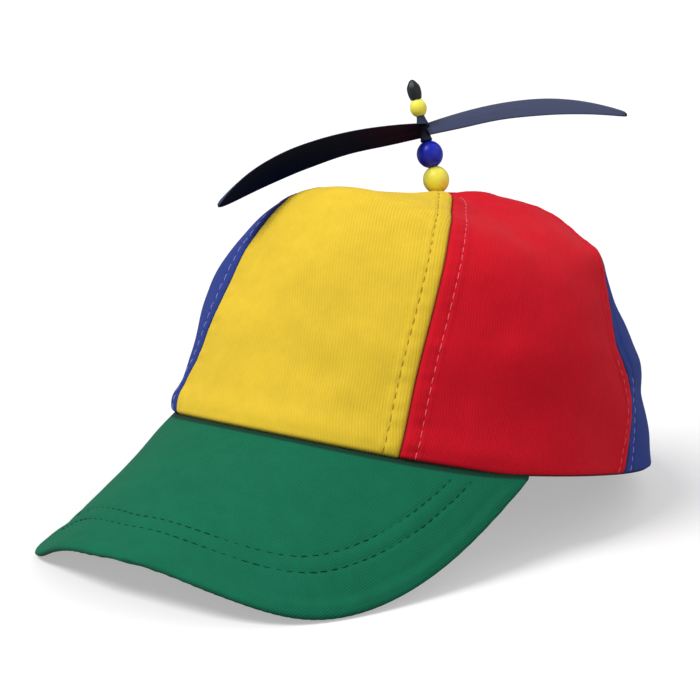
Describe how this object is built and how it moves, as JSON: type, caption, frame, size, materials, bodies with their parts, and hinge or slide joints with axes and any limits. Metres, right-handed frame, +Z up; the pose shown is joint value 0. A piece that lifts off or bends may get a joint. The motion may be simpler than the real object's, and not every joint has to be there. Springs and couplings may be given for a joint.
{
  "type": "propeller cap",
  "caption": "Soft panelled cloth cap with an arched peak and a spinning propeller on a leaning stack of beads.",
  "frame": {"origin": "under the middle of the whole cap, on the surface that it rests on", "axes": "+Z up, the peak points to -Y, +X towards the wearer's left"},
  "size_m": [0.172, 0.2582, 0.1567],
  "materials": {
    "cloth_yellow": "cotton twill",
    "cloth_red": "cotton twill",
    "cloth_blue": "cotton twill",
    "cloth_green": "cotton twill over a stiff peak board",
    "pin_steel": "plain",
    "bead_yellow": "satin",
    "bead_blue": "gloss",
    "propeller_dark": "satin moulded",
    "finial_dark": "satin moulded"
  },
  "bodies": {
    "cap": {"crown_front": "cloth_yellow", "crown_left": "cloth_red", "crown_back_left": "cloth_blue", "crown_back_right": "cloth_red", "crown_right": "cloth_blue", "peak": "cloth_green", "pin": "pin_steel", "bead_base": "bead_yellow", "bead_spacer": "bead_blue", "bead_top": "bead_yellow", "finial": "finial_dark"},
    "propeller": {"propeller": "propeller_dark"}
  },
  "joints": [
    {"name": "propeller_spin", "type": "hinge", "parent": "cap", "child": "propeller", "pos_m": [0.0052, 0.03855, 0.11493], "axis": [-0.314, 0.0116, 0.9494], "continuous": true}
  ]
}
